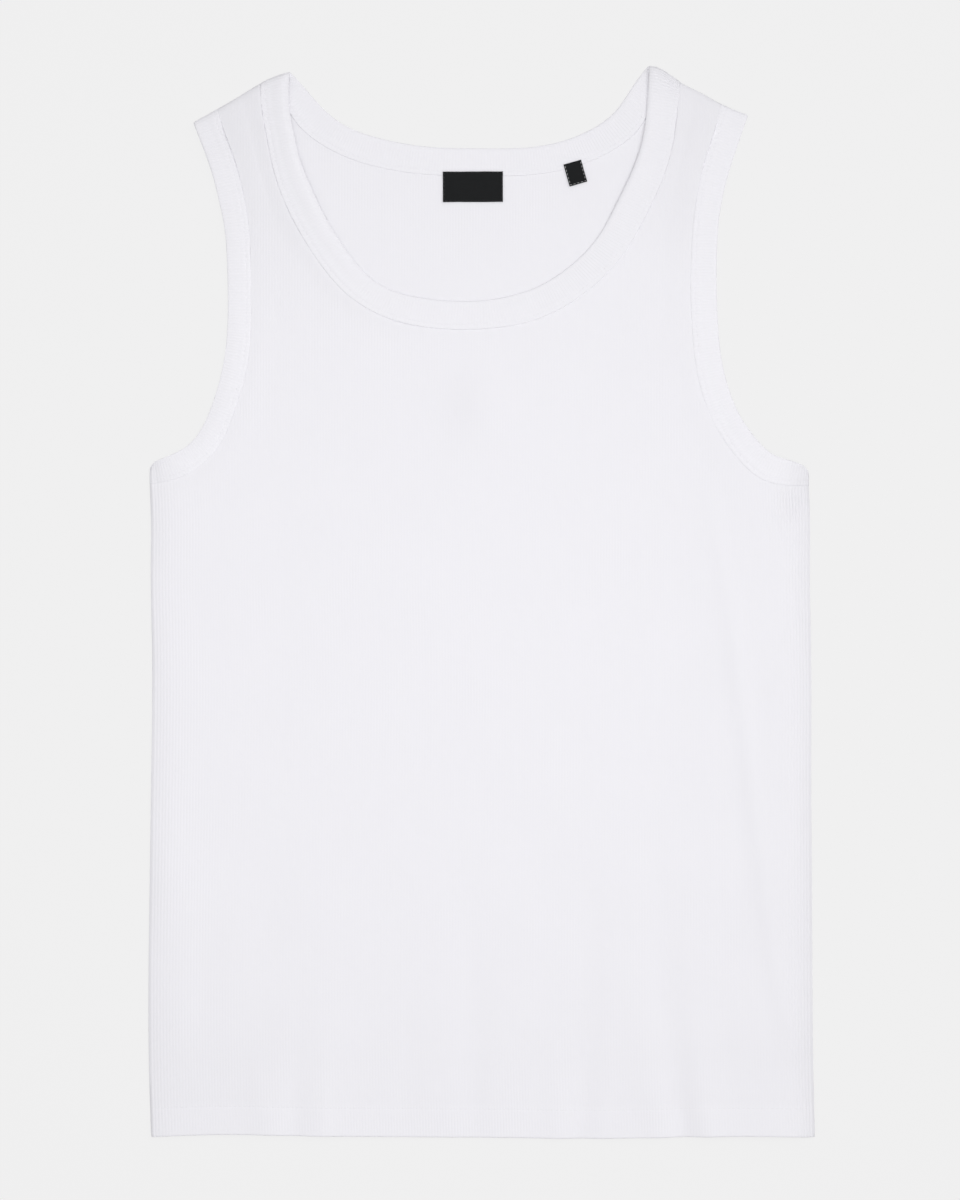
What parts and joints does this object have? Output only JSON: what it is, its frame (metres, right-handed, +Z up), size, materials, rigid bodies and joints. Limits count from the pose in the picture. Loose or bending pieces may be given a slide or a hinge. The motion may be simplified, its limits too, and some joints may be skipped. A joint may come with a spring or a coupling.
{
  "type": "tank top laid flat",
  "caption": "Sleeveless ribbed cotton top laid flat, front up, with doubled bands round neck and armholes and a turned-up hem.",
  "frame": {"origin": "on the surface it lies on, under the middle of the garment's box", "axes": "+X to the onlooker's right across the front, +Y up to the shoulders, +Z up out of the front face"},
  "size_m": [0.4534, 0.7295, 0.0051],
  "materials": {
    "rib_cloth": "matte white cotton rib knit",
    "band_cloth": "matte white cotton rib knit, doubled",
    "label_weave": "black woven satin"
  },
  "bodies": {
    "root": {"front_panel": "rib_cloth", "back_panel": "rib_cloth", "neck_band": "band_cloth", "armhole_band_left": "band_cloth", "armhole_band_right": "band_cloth", "brand_label": "label_weave", "size_label": "label_weave"}
  },
  "joints": []
}
